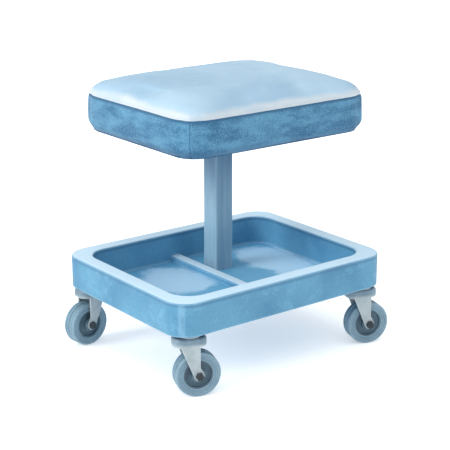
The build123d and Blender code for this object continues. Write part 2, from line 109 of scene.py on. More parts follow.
def make_studio():
    sun_light("key_left", (-0.84, 0.18, 0.50), 24, 1.65, (1.0, 0.97, 0.93))
    sun_light("overhead", (-0.15, -0.30, 0.94), 60, 1.3, (1.0, 0.99, 0.97))
    soft_box("back_box", (-0.75, 2.3, 1.75), (1.7, 0.8), 9, (1.0, 1.0, 1.0))
    soft_box("right_box", (2.0, -0.9, 2.5), (0.8, 1.7), 3, (1.0, 1.0, 1.0))
    world = bpy.data.worlds.new("studio")
    world.use_nodes = True
    background = world.node_tree.nodes["Background"]
    background.inputs["Color"].default_value = (0.94, 0.965, 1.0, 1)
    background.inputs["Strength"].default_value = 0.66
    scene = bpy.context.scene
    scene.world = world
    scene.view_settings.view_transform = "Standard"


def make_floor():
    half = 30.0
    corners = [(-half, -half, 0), (half, -half, 0), (half, half, 0), (-half, half, 0)]
    mesh = bpy.data.meshes.new("studio_floor")
    mesh.from_pydata(corners, [], [(0, 1, 2, 3)])
    floor = bpy.data.objects.new("studio_floor", mesh)
    material = bpy.data.materials.new("studio_floor")
    material.use_nodes = True
    shader = material.node_tree.nodes["Principled BSDF"]
    shader.inputs["Base Color"].default_value = (0.86, 0.87, 0.88, 1)
    shader.inputs["Roughness"].default_value = 0.9
    shader.inputs["Emission Color"].default_value = (1.0, 1.0, 1.0, 1)
    shader.inputs["Emission Strength"].default_value = 0.42
    shader.inputs["Specular IOR Level"].default_value = 0.1
    mesh.materials.append(material)
    bpy.context.scene.collection.objects.link(floor)


# ---- material building blocks -------------------------------------------------------------


def linear(red, green, blue):
    """A screen colour, 0 to 255, as the shader's linear colour."""
    channels = [c / 255 for c in (red, green, blue)]
    return tuple(c / 12.92 if c <= 0.04045 else ((c + 0.055) / 1.055) ** 2.4 for c in channels) + (1.0,)


class Surface:
    """A Principled material put together from procedural layers in the object's own coordinates."""

    def __init__(self, name, roughness, metallic=0.0, specular=0.5, sheen=0.0, coat=0.0):
        self.material = bpy.data.materials.new(name)
        self.material.use_nodes = True
        self.tree = self.material.node_tree
        self.shader = self.tree.nodes["Principled BSDF"]
        self.shader.inputs["Roughness"].default_value = roughness
        self.shader.inputs["Metallic"].default_value = metallic
        self.shader.inputs["Specular IOR Level"].default_value = specular
        if sheen:
            self.shader.inputs["Sheen Weight"].default_value = sheen
            self.shader.inputs["Sheen Roughness"].default_value = 0.5
        if coat:
            self.shader.inputs["Coat Weight"].default_value = coat
            self.shader.inputs["Coat Roughness"].default_value = 0.25
        coordinates = self.node("ShaderNodeTexCoord")
        self.place = coordinates.outputs["Object"]
        self.normal = coordinates.outputs["Normal"]
        self.height = None

    def node(self, kind, **values):
        made = self.tree.nodes.new(kind)
        for key, value in values.items():
            setattr(made, key, value)
        return made

    def link(self, start, end):
        self.tree.links.new(start, end)

    def stretched(self, scale):
        """The object's coordinates, scaled by a number on each axis."""
        mapping = self.node("ShaderNodeMapping")
        mapping.inputs["Scale"].default_value = scale
        self.link(self.place, mapping.inputs["Vector"])
        return mapping.outputs["Vector"]

    def noise(self, scale, detail=3.0, rough=0.55, stretch=(1, 1, 1), distortion=0.0):
        made = self.node("ShaderNodeTexNoise")
        made.inputs["Scale"].default_value = scale
        made.inputs["Detail"].default_value = detail
        made.inputs["Roughness"].default_value = rough
        made.inputs["Distortion"].default_value = distortion
        self.link(self.stretched(stretch), made.inputs["Vector"])
        return made.outputs["Fac"]

    def cells(self, scale):
        """Rounded cells, like the grain of leather."""
        made = self.node("ShaderNodeTexVoronoi", feature="SMOOTH_F1")
        made.inputs["Scale"].default_value = scale
        self.link(self.place, made.inputs["Vector"])
        return made.outputs["Distance"]

    def step(self, value, low, high, out_low=0.0, out_high=1.0):
        """value mapped from low..high to out_low..out_high, smoothly and clamped."""
        made = self.node("ShaderNodeMapRange", interpolation_type="SMOOTHSTEP")
        made.inputs["From Min"].default_value = low
        made.inputs["From Max"].default_value = high
        made.inputs["To Min"].default_value = out_low
        made.inputs["To Max"].default_value = out_high
        self.link(value, made.inputs["Value"])
        return made.outputs["Result"]

    def maths(self, operation, first, second):
        made = self.node("ShaderNodeMath", operation=operation)
        for socket, value in zip(made.inputs, (first, second)):
            if isinstance(value, (int, float)):
                socket.default_value = value
            else:
                self.link(value, socket)
        return made.outputs[0]

    def product(self, *factors):
        """Masks, or masks and numbers, multiplied together."""
        result = factors[0]
        for factor in factors[1:]:
            result = self.maths("MULTIPLY", result, factor)
        return result

    def mix(self, share, first, second):
        """Colour first where share is 0, second where it is 1. Either may be a colour or a socket."""
        made = self.node("ShaderNodeMix", data_type="RGBA")
        self.link(share, made.inputs["Factor"])
        colours = [socket for socket in made.inputs if socket.type == "RGBA"]
        for socket, value in zip(colours, (first, second)):
            if isinstance(value, tuple):
                socket.default_value = value
            else:
                self.link(value, socket)
        return next(socket for socket in made.outputs if socket.type == "RGBA")

    def split(self, vector):
        """The X, Y and Z sockets of a vector."""
        made = self.node("ShaderNodeSeparateXYZ")
        self.link(vector, made.inputs[0])
        return made.outputs

    def facing(self, low, high):
        """1 where the surface's upward lean is past high, 0 where it is short of low."""
        return self.step(self.split(self.normal)["Z"], low, high)

    def height_mask(self, low, high, wander=0.0):
        """0 below z = low, 1 above z = high, in the object's own metres; wander moves the border."""
        height = self.split(self.place)["Z"]
        if wander:
            height = self.maths("ADD", height, self.drift(self.noise(14, detail=3), wander))
        return self.step(height, low, high)

    def drift(self, value, reach):
        """A noise from 0 to 1 turned into a shift either way, reach from end to end."""
        return self.product(self.maths("SUBTRACT", value, 0.5), reach)

    def patch(self, centre, reach, ragged):
        """1 round centre, seen from above, fading out unevenly at about reach."""
        shift = self.node("ShaderNodeVectorMath", operation="SUBTRACT")
        shift.inputs[1].default_value = (centre[0], centre[1], 0)
        self.link(self.place, shift.inputs[0])
        squash = self.node("ShaderNodeVectorMath", operation="MULTIPLY")
        squash.inputs[1].default_value = (1 / reach[0], 1 / reach[1], 0)
        self.link(shift.outputs["Vector"], squash.inputs[0])
        length = self.node("ShaderNodeVectorMath", operation="LENGTH")
        self.link(squash.outputs["Vector"], length.inputs[0])
        wander = self.drift(self.noise(28, detail=4, rough=0.6), ragged)
        return self.step(self.maths("ADD", length.outputs["Value"], wander), 1.15, 0.8)

    def within(self, axis, half):
        """1 where the object's coordinate along axis is less than half from its middle."""
        return self.step(self.maths("ABSOLUTE", self.split(self.place)[axis], 0), half + MM, half - MM)

    def diagonal(self, offset, width):
        """1 on the upright corner lines where |x| - |y| is offset, fading out over width."""
        place = self.split(self.place)
        reach = [self.maths("ABSOLUTE", place[axis], 0) for axis in "XY"]
        beside = self.maths("SUBTRACT", self.maths("SUBTRACT", *reach), offset)
        return self.step(self.maths("ABSOLUTE", beside, 0), width, width / 3)

    def upright_corner(self, low, high):
        """1 on upright surfaces turned halfway between the X and Y directions."""
        normal = self.split(self.normal)
        both = self.product(normal["X"], normal["Y"])
        return self.step(self.maths("ABSOLUTE", both, 0), low, high)

    def edges(self, radius):
        """1 along edges within radius, 0 on flats."""
        bevel = self.node("ShaderNodeBevel", samples=4)
        bevel.inputs["Radius"].default_value = radius
        geometry = self.node("ShaderNodeNewGeometry")
        apart = self.node("ShaderNodeVectorMath", operation="DISTANCE")
        self.link(bevel.outputs["Normal"], apart.inputs[0])
        self.link(geometry.outputs["Normal"], apart.inputs[1])
        return self.step(apart.outputs["Value"], 0.02, 0.25)

    def colour(self, value):
        self.link(value, self.shader.inputs["Base Color"])

    def roughness(self, value):
        self.link(value, self.shader.inputs["Roughness"])

    def bump(self, value, distance, strength=1.0):
        """Adds a layer of relief, distance metres deep, over those already there."""
        made = self.node("ShaderNodeBump")
        made.inputs["Distance"].default_value = distance
        made.inputs["Strength"].default_value = strength
        self.link(value, made.inputs["Height"])
        if self.height is not None:
            self.link(self.height, made.inputs["Normal"])
        self.height = made.outputs["Normal"]
        self.link(self.height, self.shader.inputs["Normal"])


# ---- the object's materials ---------------------------------------------------------------


def vinyl_top(seam_z):
    s = Surface("seat_top_vinyl", roughness=0.45, specular=0.4)
    wash = s.noise(7, detail=2, distortion=0.4)
    tone = s.mix(s.step(wash, 0.3, 0.7), linear(144, 176, 199), linear(164, 192, 211))
    bloom = s.noise(40, detail=4, rough=0.6)
    tone = s.mix(s.step(bloom, 0.5, 0.75, 0.0, 0.3), tone, linear(170, 196, 212))
    # painted highlight: a pale, uneven band on the shoulder just above the top seam stands in for the lamps'
    # sheen on the rounded edge
    band = s.height_mask(seam_z + 13 * MM, seam_z + 5 * MM, 12 * MM)
    painted_light = s.product(band, s.step(s.noise(22, detail=3), 0.25, 0.5, 0.5, 1.0))
    s.colour(s.mix(painted_light, tone, linear(190, 201, 208)))
    s.roughness(s.step(s.noise(60, detail=4), 0.3, 0.7, 0.42, 0.56))
    s.bump(s.cells(950), 0.00022, 0.35)
    s.bump(s.noise(2600, detail=2), 0.00006, 0.4)
    return s.material


def side_cloth(foot_z, seam_z, seam_offset):
    """Napped cloth with blotches, flecks, a dark line along the corner seams, painted shade in a band just
    under the top seam and a darker foot.
    """
    s = Surface("seat_side_cloth", roughness=0.86, specular=0.2, sheen=0.12)
    wash = s.noise(30, detail=3, rough=0.6, stretch=(0.6, 0.6, 1.6))
    tone = s.mix(s.step(wash, 0.34, 0.64), linear(52, 102, 138), linear(86, 140, 172))
    nap = s.noise(460, detail=4, rough=0.85)
    tone = s.mix(s.step(nap, 0.53, 0.60, 0.0, 0.45), tone, linear(124, 172, 196))
    fleck = s.noise(640, detail=3, rough=0.85)
    tone = s.mix(s.step(fleck, 0.55, 0.62, 0.0, 0.7), tone, linear(34, 78, 112))
    # painted shade: a darker band just under the top seam, where the shoulder above overhangs the side
    by_seam = s.height_mask(seam_z - 5.5 * MM, seam_z - 1.0 * MM)
    seam_shade = s.product(by_seam, s.step(wash, 0.3, 0.6, 0.35, 0.8))
    tone = s.mix(seam_shade, tone, linear(34, 74, 108))
    foot = s.height_mask(foot_z + 16 * MM, foot_z + 1 * MM, 16 * MM)
    tone = s.mix(s.product(foot, 0.55), tone, linear(34, 78, 114))
    seam = s.product(s.diagonal(seam_offset, 1.6 * MM), s.height_mask(seam_z, seam_z - 3 * MM), 0.5)
    s.colour(s.mix(seam, tone, linear(34, 76, 110)))
    warp = s.noise(1500, detail=2, stretch=(1, 1, 0.25))
    weft = s.noise(1500, detail=2, stretch=(0.3, 0.3, 1))
    s.bump(s.maths("ADD", warp, weft), 0.0003, 0.5)
    s.bump(nap, 0.0005, 0.5)
    return s.material


TRAY_RIB_DROP = 0.038
POCKET_HALF = (0.165, 0.1245)
# centre and reach, in metres, of the painted pools of light on the floor of each bay
LEFT_BAY_LIGHT_POOL = ((-0.055, 0.045), (0.050, 0.062))
RIGHT_BAY_LIGHT_POOL = ((0.118, 0.030), (0.046, 0.080))


def tray_walls(s, inside, top_z):
    """Tone of the tray's upright faces: cloudy blue, lighter inside, and painted shade in a darker line just
    under the rim.
    """
    wash = s.step(s.noise(11, detail=2, rough=0.5), 0.3, 0.7)
    outer_tone = s.mix(wash, linear(70, 127, 162), linear(90, 149, 180))
    inner_tone = s.mix(wash, linear(84, 146, 184), linear(106, 170, 204))
    tone = s.mix(inside, outer_tone, inner_tone)
    cloud = s.noise(46, detail=5, rough=0.75)
    tone = s.mix(s.step(cloud, 0.5, 0.7, 0.0, 0.5), tone, linear(114, 170, 200))
    speck = s.noise(560, detail=3, rough=0.85)
    tone = s.mix(s.step(speck, 0.55, 0.62, 0.0, 0.5), tone, linear(50, 102, 138))
    # painted shade: a dark line on the upright faces just under the rim's overhang
    under_rim_shade = s.product(s.height_mask(top_z - 8 * MM, top_z - 4 * MM, 3 * MM), s.facing(0.4, 0.0), 0.55)
    return s.mix(under_rim_shade, tone, linear(52, 100, 136))


def tray_flats(s, tone, inside, top_z):
    """Laid over tone: painted light making the rim and floor paler and the rib top pale, and painted pools
    of light on the floor of both bays.
    """
    # painted light: upward faces are paler, as if lit from above
    flat = s.facing(0.6, 0.98)
    top_lit_tone = s.mix(inside, linear(122, 174, 206), linear(102, 172, 210))
    tone = s.mix(s.product(flat, 0.8), tone, top_lit_tone)
    # painted pools of light on the floor of both bays
    painted_light = s.maths("MAXIMUM", s.patch(*LEFT_BAY_LIGHT_POOL, 0.9), s.patch(*RIGHT_BAY_LIGHT_POOL, 0.9))
    tone = s.mix(s.product(painted_light, flat, 0.9), tone, linear(176, 216, 242))
    # painted highlight on the top face of the rib
    rib_z = top_z - TRAY_RIB_DROP
    rib_top_light = s.product(s.height_mask(rib_z, rib_z + 2 * MM), flat, 0.9)
    return s.mix(rib_top_light, tone, linear(200, 226, 242))


def tray_plastic(top_z):
    s = Surface("tray_moulded", roughness=0.5, specular=0.35)
    inside = s.product(s.within("X", POCKET_HALF[0]), s.within("Y", POCKET_HALF[1]))
    tone = tray_flats(s, tray_walls(s, inside, top_z), inside, top_z)
    # painted highlight: an uneven pale streak down the outer upright corners
    corner_highlight_strength = s.step(s.noise(60, detail=4), 0.3, 0.6, 0.1, 0.35)
    corner = s.product(s.upright_corner(0.46, 0.4998), corner_highlight_strength, s.maths("SUBTRACT", 1, inside))
    tone = s.mix(corner, tone, linear(150, 192, 216))
    # paler edges, partly wear and partly painted highlight
    s.colour(s.mix(s.product(s.edges(0.003), 0.45), tone, linear(170, 202, 222)))
    s.roughness(s.step(s.noise(90, detail=4), 0.3, 0.7, 0.42, 0.62))
    s.bump(s.noise(1100, detail=2, rough=0.4), 0.00012, 0.5)
    scratch = s.noise(60, detail=6, rough=0.7, stretch=(1, 9, 1), distortion=0.4)
    s.bump(s.step(scratch, 0.66, 0.7), 0.00006, 0.4)
    return s.material


def plate_enamel():
    """Enamel on the steel under the seat: faint streaks, paler worn edges and orange peel."""
    s = Surface("plate_paint", roughness=0.4, specular=0.5, coat=0.15)
    worn = linear(112, 150, 178)
    streak = s.noise(26, detail=4, rough=0.6, stretch=(6, 6, 0.7))
    tone = s.mix(s.step(streak, 0.25, 0.75), linear(44, 88, 122), linear(62, 108, 142))
    tone = s.mix(s.product(s.edges(0.0025), 0.7), tone, worn)
    chip = s.noise(210, detail=4, rough=0.75)
    s.colour(s.mix(s.step(chip, 0.7, 0.74, 0.0, 0.3), tone, worn))
    s.roughness(s.step(s.noise(120, detail=4), 0.3, 0.7, 0.34, 0.5))
    s.bump(s.noise(900, detail=1), 0.00008, 0.4)
    return s.material


def post_enamel(low_z, high_z):
    """Satin paint on the tube: paler low down as painted light, darker under the seat as painted shade."""
    s = Surface("post_paint", roughness=0.4, specular=0.25)
    streak = s.noise(30, detail=3, rough=0.5, stretch=(5, 5, 0.35))
    seat_shade_tone = s.mix(s.step(streak, 0.15, 0.85), linear(46, 92, 130), linear(68, 116, 152))
    low_lit_tone = s.mix(s.step(streak, 0.15, 0.85), linear(130, 168, 192), linear(156, 190, 208))
    # painted light and shade: pale low down, darker towards the seat
    tone = s.mix(s.height_mask(low_z, high_z), low_lit_tone, seat_shade_tone)
    # paler corner edges, partly wear and partly painted highlight
    s.colour(s.mix(s.product(s.edges(0.0022), 0.6), tone, linear(176, 204, 218)))
    s.roughness(s.step(s.noise(120, detail=4), 0.3, 0.7, 0.34, 0.48))
    s.bump(s.noise(900, detail=1), 0.00005, 0.3)
    return s.material


def fork_enamel(crown_z):
    """Pale enamel on pressed steel, with paler edges and a darker, bluer crown that is painted shade under
    the tray.
    """
    s = Surface("fork_enamel", roughness=0.44, specular=0.5, coat=0.1)
    cloud = s.noise(60, detail=4, rough=0.65)
    leg = s.mix(s.step(cloud, 0.3, 0.7), linear(146, 162, 168), linear(168, 180, 184))
    crown_shade_tone = s.mix(s.step(cloud, 0.3, 0.7), linear(92, 120, 138), linear(118, 144, 160))
    # painted shade: darker, bluer tone on the crown, which sits in the tray's shadow
    tone = s.mix(s.height_mask(crown_z - 3 * MM, crown_z + 3 * MM, 4 * MM), leg, crown_shade_tone)
    s.colour(s.mix(s.product(s.edges(0.0016), 0.7), tone, linear(196, 208, 214)))
    s.roughness(s.step(s.noise(120, detail=4), 0.3, 0.7, 0.36, 0.52))
    s.bump(s.noise(900, detail=1), 0.00008, 0.4)
    return s.material


def plated(name, dark, light, metallic, rough_low, rough_high, edge=linear(206, 216, 220)):
    """Zinc or oxide finish: blotchy tone, brighter edges, fine grain."""
    s = Surface(name, roughness=0.35, metallic=metallic, specular=0.5)
    blotch = s.noise(150, detail=4, rough=0.65)
    tone = s.mix(s.step(blotch, 0.3, 0.7), dark, light)
    s.colour(s.mix(s.product(s.edges(0.001), 0.6), tone, edge))
    s.roughness(s.step(s.noise(380, detail=3), 0.3, 0.7, rough_low, rough_high))
    s.bump(s.noise(2400, detail=2), 0.00004, 0.4)
    return s.material


def rubber():
    s = Surface("tyre_rubber", roughness=0.62, specular=0.35)
    wash = s.noise(40, detail=3, rough=0.6)
    tone = s.mix(s.step(wash, 0.3, 0.7), linear(90, 122, 142), linear(108, 140, 158))
    dust = s.noise(900, detail=3, rough=0.7)
    tone = s.mix(s.step(dust, 0.56, 0.68, 0.0, 0.35), tone, linear(132, 156, 168))
    # painted highlight along the tyre's edges
    s.colour(s.mix(s.product(s.edges(0.0018), 0.7), tone, linear(166, 190, 202)))
    s.roughness(s.step(s.noise(200, detail=3), 0.3, 0.7, 0.52, 0.74))
    s.bump(s.noise(1500, detail=3), 0.00008, 0.5)
    return s.material


def hub_plastic():
    s = Surface("hub_moulded", roughness=0.5, specular=0.4)
    wash = s.noise(70, detail=3, rough=0.6)
    tone = s.mix(s.step(wash, 0.3, 0.7), linear(56, 80, 96), linear(70, 96, 112))
    # painted highlight along the hub's edges
    s.colour(s.mix(s.product(s.edges(0.0014), 0.55), tone, linear(126, 152, 166)))
    s.roughness(s.step(s.noise(260, detail=3), 0.3, 0.7, 0.42, 0.6))
    s.bump(s.noise(1300, detail=2), 0.00006, 0.5)
    return s.material


def plywood():
    s = Surface("plywood", roughness=0.7, specular=0.3)
    grain = s.noise(34, detail=5, rough=0.6, stretch=(1, 14, 1), distortion=0.9)
    tone = s.mix(s.step(grain, 0.3, 0.7), linear(164, 124, 80), linear(200, 164, 116))
    pores = s.noise(420, detail=3, rough=0.7, stretch=(0.12, 1, 1))
    tone = s.mix(s.step(pores, 0.6, 0.7, 0.0, 0.5), tone, linear(122, 84, 50))
    plies = s.node("ShaderNodeTexWave", wave_type="BANDS", bands_direction="Z")
    plies.inputs["Scale"].default_value = 66
    s.link(s.place, plies.inputs["Vector"])
    s.colour(s.mix(s.step(plies.outputs["Fac"], 0.4, 0.6, 0.0, 0.25), tone, linear(130, 92, 56)))
    s.bump(grain, 0.0002, 0.4)
    return s.material


def nylon():
    s = Surface("black_nylon", roughness=0.5, specular=0.4)
    mottle = s.noise(200, detail=3)
    s.colour(s.mix(s.step(mottle, 0.3, 0.7), linear(34, 37, 40), linear(52, 56, 60)))
    s.bump(s.noise(1400, detail=2), 0.00005, 0.4)
    return s.material


def thread():
    s = Surface("seam_thread", roughness=0.7, specular=0.3, sheen=0.2)
    twist = s.noise(2200, detail=2, stretch=(1, 1, 2))
    s.colour(s.mix(s.step(twist, 0.35, 0.65), linear(184, 200, 208), linear(204, 214, 218)))
    s.bump(twist, 0.0001, 0.6)
    return s.material


# ---- mesh helpers -------------------------------------------------------------------------


def add_object(name, mesh):
    made = bpy.data.objects.new(name, mesh)
    bpy.context.scene.collection.objects.link(made)
    return made


def mesh_from(name, points, faces):
    mesh = bpy.data.meshes.new(name)
    mesh.from_pydata([tuple(p) for p in points], [], faces)
    mesh.validate()
    return mesh


def evaluated_mesh(obj):
    bpy.context.view_layer.update()
    graph = bpy.context.evaluated_depsgraph_get()
    return bpy.data.meshes.new_from_object(obj.evaluated_get(graph))


def modified(obj, kind, **values):
    """obj's mesh with one modifier applied."""
    modifier = obj.modifiers.new(kind.lower(), kind)
    for key, value in values.items():
        setattr(modifier, key, value)
    mesh = evaluated_mesh(obj)
    obj.modifiers.remove(modifier)
    old = obj.data
    obj.data = mesh
    bpy.data.meshes.remove(old)


def smooth(mesh, angle=math.radians(180)):
    mesh.polygons.foreach_set("use_smooth", [True] * len(mesh.polygons))
    if angle < math.pi:
        mesh.set_sharp_from_angle(angle=angle)
    mesh.update()


def points_of(mesh):
    flat = np.zeros(len(mesh.vertices) * 3, np.float32)
    mesh.vertices.foreach_get("co", flat)
    return flat.reshape(-1, 3).astype(float)


def set_points(mesh, points):
    mesh.vertices.foreach_set("co", points.astype(np.float32).ravel())
    mesh.update()


def rounded_outline(half_length, half_width, radius, arc_steps=10, side_steps=8):
    """Points round a rounded rectangle, anticlockwise, always the same number."""
    points = []
    turns = ((1, 1, 0), (-1, 1, 90), (-1, -1, 180), (1, -1, 270))
    for i, (sx, sy, start) in enumerate(turns):
        centre = Vector((sx * (half_length - radius), sy * (half_width - radius)))
        for k in range(arc_steps + 1):
            angle = math.radians(start + 90 * k / arc_steps)
            points.append(centre + radius * Vector((math.cos(angle), math.sin(angle))))
        nx, ny, next_start = turns[(i + 1) % 4]
        corner = Vector((nx * (half_length - radius), ny * (half_width - radius)))
        angle = math.radians(next_start)
        goal = corner + radius * Vector((math.cos(angle), math.sin(angle)))
        here = points[-1].copy()
        for k in range(1, side_steps):
            points.append(here.lerp(goal, k / side_steps))
    return points


def circle_round(middle, side, up, radius, sides):
    """Points of a circle round middle, in the plane of side and up."""
    turns = [math.tau * k / sides for k in range(sides)]
    return [middle + (side * math.cos(turn) + up * math.sin(turn)) * radius for turn in turns]


def add_tube(points, faces, rings, closed=False):
    """Adds a skin through rings of equal length to the lists, capped unless it closes on itself."""
    base, sides, count = len(points), len(rings[0]), len(rings)
    for ring in rings:
        points.extend(ring)
    for r in range(count if closed else count - 1):
        here, ahead = base + r * sides, base + (r + 1) % count * sides
        for k in range(sides):
            after = (k + 1) % sides
            faces.append((here + k, here + after, ahead + after, ahead + k))
    if not closed:
        last = base + (count - 1) * sides
        faces.append(tuple(base + k for k in reversed(range(sides))))
        faces.append(tuple(last + k for k in range(sides)))


# ---- seat cushion -------------------------------------------------------------------------

# the pad before it is puffed up
VOXEL = 5 * MM
SEAM_DROP = 24.5 * MM
PLAN_RADIUS = 38 * MM
FOOT_RADIUS = 12 * MM
SHOULDER_RADIUS = 18 * MM
CORNER_DROP = 6 * MM
SLACK = 4 * MM
UNDERSIDE_GAP = 0.2 * MM

# the puffing up
PRESSURE = 4.0
SIM_FRAMES = 20
SEAM_HOLD = 0.25
PUFF_CAP = 6 * MM
CROWN = 4.0 * MM
BULGE = 2.5 * MM

# the upright corner seams, which stand out a little
RIDGE_HEIGHT = 4.6 * MM
RIDGE_REACH = 13 * MM

# edge loops beside the seams, in millimetres from the seam
TOP_SEAM_CUTS = (-3.4, -1.6, 0.0, 1.6, 3.4)
CORNER_SEAM_CUTS = (-14, -8, -4, -1.3, 0.0, 1.3, 4, 8, 14)


def cushion_start(low, high):
    """A slightly small, crowned pad: foot, upright sides, soft shoulder and domed top."""
    half_length = (high.x - low.x) / 2 - SLACK
    half_width = (high.y - low.y) / 2 - SLACK
    seam_z = high.z - SEAM_DROP
    bottom, top = low.z + UNDERSIDE_GAP, high.z - SLACK - 2 * MM
    foot, shoulder = FOOT_RADIUS, SHOULDER_RADIUS
    rings = []

    def ring(inset, z):
        radius = max(PLAN_RADIUS - inset, 4 * MM)
        outline = rounded_outline(half_length - inset, half_width - inset, radius)
        lift = max(0.0, (z - seam_z) / (top - seam_z))
        drops = [CORNER_DROP * lift * (p.x / half_length * p.y / half_width) ** 2 for p in outline]
        rings.append([(p.x, p.y, z - drop) for p, drop in zip(outline, drops)])

    for inset in (105, 70, 40, 20):
        ring(inset * MM, bottom)
    for k in range(7):
        angle = math.radians(90 * k / 6)
        ring(foot * (1 - math.sin(angle)), bottom + foot * (1 - math.cos(angle)))
    for k in range(1, 5):
        ring(0.0, bottom + foot + (top - shoulder - bottom - foot) * k / 5)
    for k in range(9):
        angle = math.radians(90 * k / 8)
        ring(shoulder * (1 - math.cos(angle)), top - shoulder * (1 - math.sin(angle)))
    for inset, rise in ((32, 1.2), (48, 2.2), (72, 3.0), (105, 3.6)):
        ring(inset * MM, top + rise * MM)
    points, faces = [], []
    add_tube(points, faces, rings)
    return mesh_from("seat_cushion", points, faces)


def pin_group(obj, seam_z, bottom_z):
    """Holds the stapled underside, and the seam a little, while the rest puffs up."""
    group = obj.vertex_groups.new(name="held")
    for v in obj.data.vertices:
        if v.co.z < bottom_z + 4 * MM:
            group.add([v.index], 1.0, "REPLACE")
        elif abs(v.co.z - seam_z) < 4 * MM:
            group.add([v.index], SEAM_HOLD, "REPLACE")


def evened(mesh, moves, passes=14):
    """Moves averaged over neighbouring points, which leaves fullness but no lumps."""
    edges = np.zeros(len(mesh.edges) * 2, np.int64)
    mesh.edges.foreach_get("vertices", edges)
    first, second = edges.reshape(-1, 2).T
    count = np.bincount(edges, minlength=len(moves))[:, None]
    for _ in range(passes):
        total = np.zeros_like(moves)
        np.add.at(total, first, moves[second])
        np.add.at(total, second, moves[first])
        moves = 0.5 * moves + 0.5 * total / np.maximum(count, 1)
    return moves


def inflate(obj, seam_z, bottom_z):
    """Runs the cloth under pressure and keeps the result, with the travel of each point capped."""
    start = points_of(obj.data)
    pin_group(obj, seam_z, bottom_z)
    cloth = obj.modifiers.new("cloth", "CLOTH")
    cloth.settings.vertex_group_mass = "held"
    cloth.settings.use_pressure = True
    cloth.settings.uniform_pressure_force = PRESSURE
    cloth.settings.tension_stiffness = 20
    cloth.settings.compression_stiffness = 20
    cloth.settings.shear_stiffness = 8
    cloth.settings.bending_stiffness = 2
    cloth.settings.effector_weights.gravity = 0
    scene = bpy.context.scene
    for step in range(1, SIM_FRAMES + 1):
        scene.frame_set(step)
    puffed = evaluated_mesh(obj)
    end = points_of(puffed)
    bpy.data.meshes.remove(puffed)
    obj.modifiers.remove(cloth)
    obj.vertex_groups.clear()
    scene.frame_set(1)
    travel = evened(obj.data, end - start)
    far = np.linalg.norm(travel, axis=1, keepdims=True)
    travel *= PUFF_CAP * np.tanh(far / PUFF_CAP) / np.maximum(far, 1e-9)
    set_points(obj.data, start + travel)


def fit_to_box(mesh, low, high):
    """Scales the pad to the CAD cover's box, let out by the crown on top and the bulge of its sides."""
    points = points_of(mesh)
    have_low, have_high = points.min(0), points.max(0)
    want_low = np.array([low.x - BULGE, low.y - BULGE, low.z + UNDERSIDE_GAP])
    want_high = np.array([high.x + BULGE, high.y + BULGE, high.z + CROWN])
    points = want_low + (points - have_low) * (want_high - want_low) / (have_high - have_low)
    set_points(mesh, points)


def seam_pull(distance, width, depth):
    """How far the cover is drawn in at a distance from a seam."""
    return depth * math.exp(-((distance / width) ** 2))


def corner_push(from_centre, out, across, below_seam, above_foot):
    """How far a corner stands out: most on its seam, fading above the top seam and at the foot."""
    if from_centre.dot(out) <= 0:
        return 0.0
    beside = max(0.0, 1 - abs(from_centre.dot(across)) / RIDGE_REACH)
    from_top = min(1.0, max(0.0, (below_seam + 12 * MM) / (18 * MM)))
    from_foot = min(1.0, max(0.0, above_foot / (14 * MM)))
    return RIDGE_HEIGHT * beside * from_top * from_foot


def seat_corners(half_length, half_width):
    """Each corner's arc centre, with the directions out of the corner and across it."""
    corners = []
    for sx in (-1, 1):
        for sy in (-1, 1):
            centre = Vector((sx * (half_length - PLAN_RADIUS), sy * (half_width - PLAN_RADIUS), 0))
            corners.append((centre, Vector((sx, sy, 0)).normalized(), Vector((-sy, sx, 0)).normalized()))
    return corners


def faces_round_corner(bm, centre, out, seam_z):
    """The faces below the top seam that lie beyond a corner's arc centre."""
    found = []
    for face in bm.faces:
        middle = face.calc_center_median()
        same_quarter = middle.x * out.x > 0 and middle.y * out.y > 0
        if middle.z < seam_z and same_quarter and (middle - centre).xy.dot(out.xy) > 4 * MM:
            found.append(face)
    return found


def cut_loop(bm, faces, place, normal):
    """Adds an edge loop where a plane crosses the faces."""
    verts = dict.fromkeys(v for face in faces for v in face.verts)
    edges = dict.fromkeys(e for face in faces for e in face.edges)
    geometry = [*verts, *edges, *faces]
    bmesh.ops.bisect_plane(bm, geom=geometry, plane_co=place, plane_no=normal, dist=1e-6)


def sewn_move(v, corners, seam_z, bottom_z):
    """A point's move: in along the seams, out at the upright corners, and slightly uneven."""
    pull = seam_pull(v.co.z - seam_z, 1.5 * MM, 1.0 * MM)
    push = Vector()
    for centre, out, across in corners:
        from_centre = v.co - centre
        push += out * corner_push(from_centre, out, across, seam_z - v.co.z, v.co.z - bottom_z)
        if v.co.z < seam_z and from_centre.dot(out) > 0:
            pull = max(pull, seam_pull(from_centre.dot(across), 1.2 * MM, 0.9 * MM))
    ripple = noise.noise(v.co * 38) * 0.35 * MM + noise.noise(v.co * 12) * 0.5 * MM
    return v.normal * (ripple - pull) + push


def sew_seams(mesh, seam_z, bottom_z, half_length, half_width):
    """Adds edge loops along the seams, parts top from side there, and draws the cover in."""
    bm = bmesh.new()
    bm.from_mesh(mesh)
    corners = seat_corners(half_length, half_width)
    for offset in TOP_SEAM_CUTS:
        cut_loop(bm, bm.faces[:], Vector((0, 0, seam_z + offset * MM)), Vector((0, 0, 1)))
    for centre, out, across in corners:
        for offset in CORNER_SEAM_CUTS:
            near = faces_round_corner(bm, centre, out, seam_z)
            cut_loop(bm, near, centre + across * offset * MM, across)
    bm.normal_update()
    for face in bm.faces:
        face.material_index = 0 if face.calc_center_median().z > seam_z else 1
    moves = [(v, sewn_move(v, corners, seam_z, bottom_z)) for v in bm.verts]
    for v, move in moves:
        v.co += move
    bm.to_mesh(mesh)
    bm.free()


